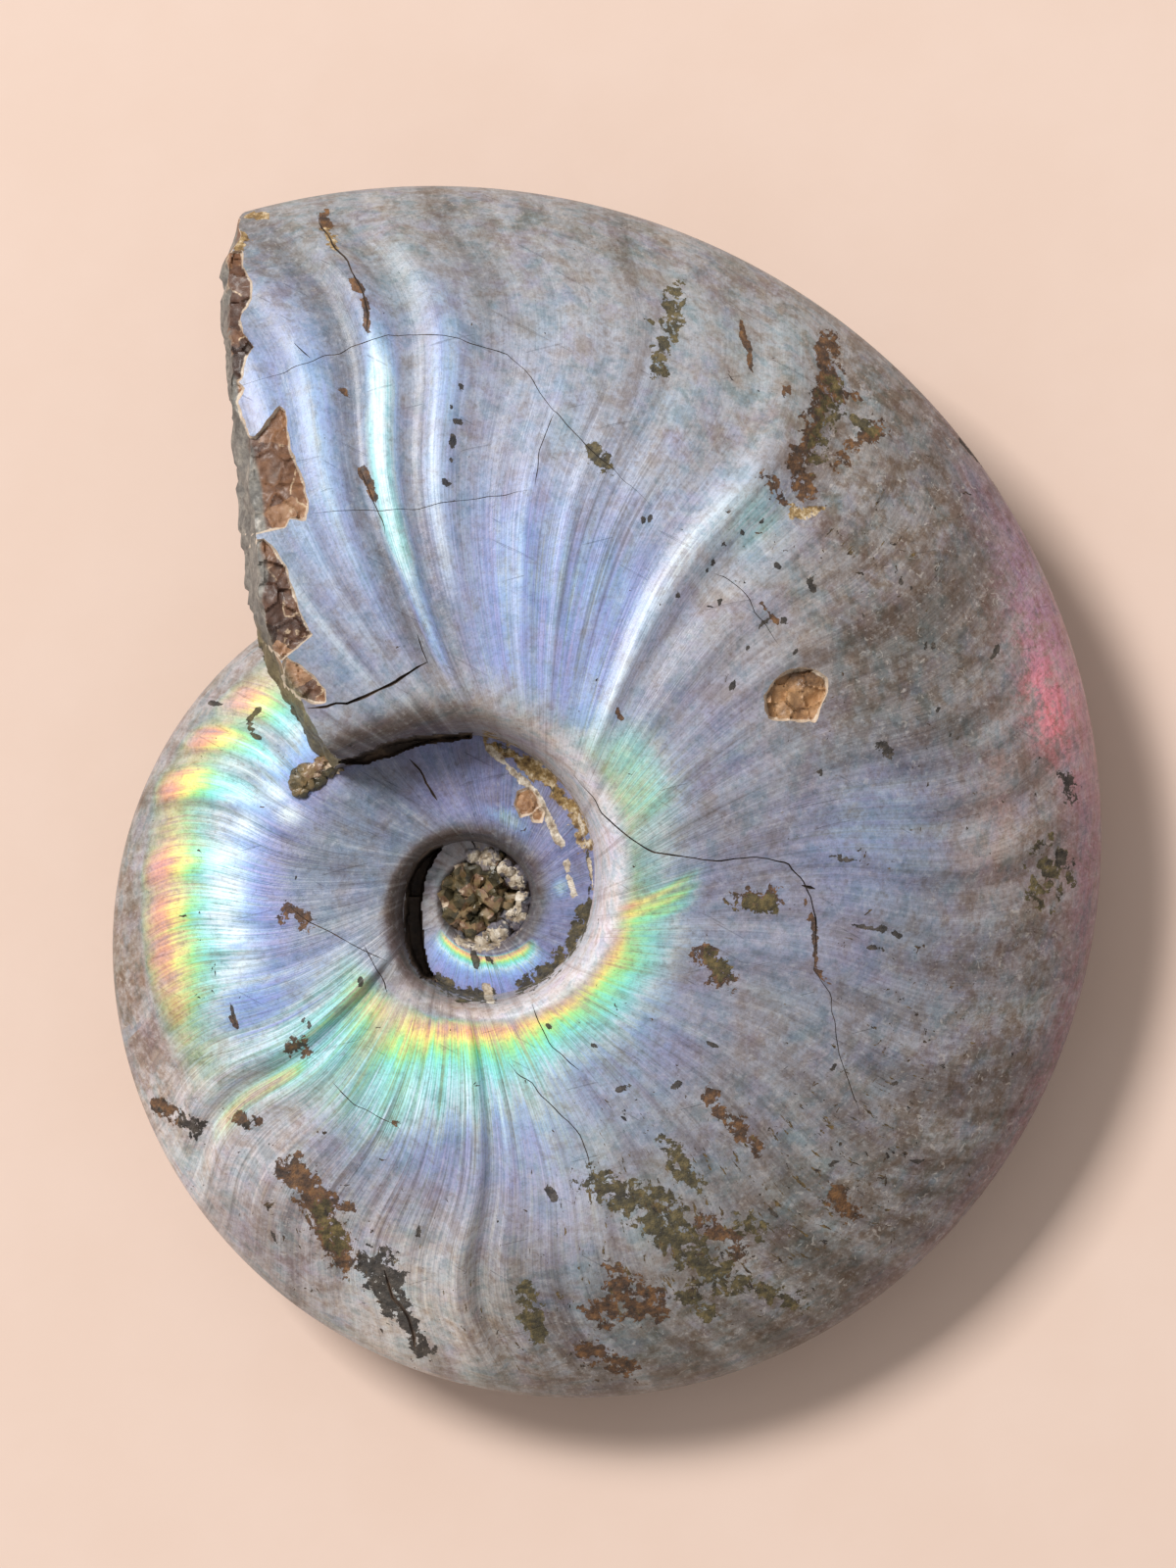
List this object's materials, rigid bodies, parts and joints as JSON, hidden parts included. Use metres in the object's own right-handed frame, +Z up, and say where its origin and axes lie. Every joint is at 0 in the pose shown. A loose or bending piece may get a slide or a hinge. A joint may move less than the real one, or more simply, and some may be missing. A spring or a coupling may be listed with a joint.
{
  "type": "ammonite fossil",
  "caption": "Polished coiled ammonite shell fossil lying on its side, with sinuous ribs, a deep umbilicus and a broken aperture.",
  "frame": {"origin": "middle of the bounding box seen from above, at the height of the surface it rests on", "axes": "+Z up, out of the side shown; +Y towards the aperture end of the shell, along its longest extent; +X to the right of the side shown"},
  "size_m": [0.1008, 0.1232, 0.0361],
  "materials": {
    "nacre": "polished iridescent mother-of-pearl with bared brown calcite and grey matrix"
  },
  "bodies": {
    "root": {"ammonite": "nacre"}
  },
  "joints": []
}
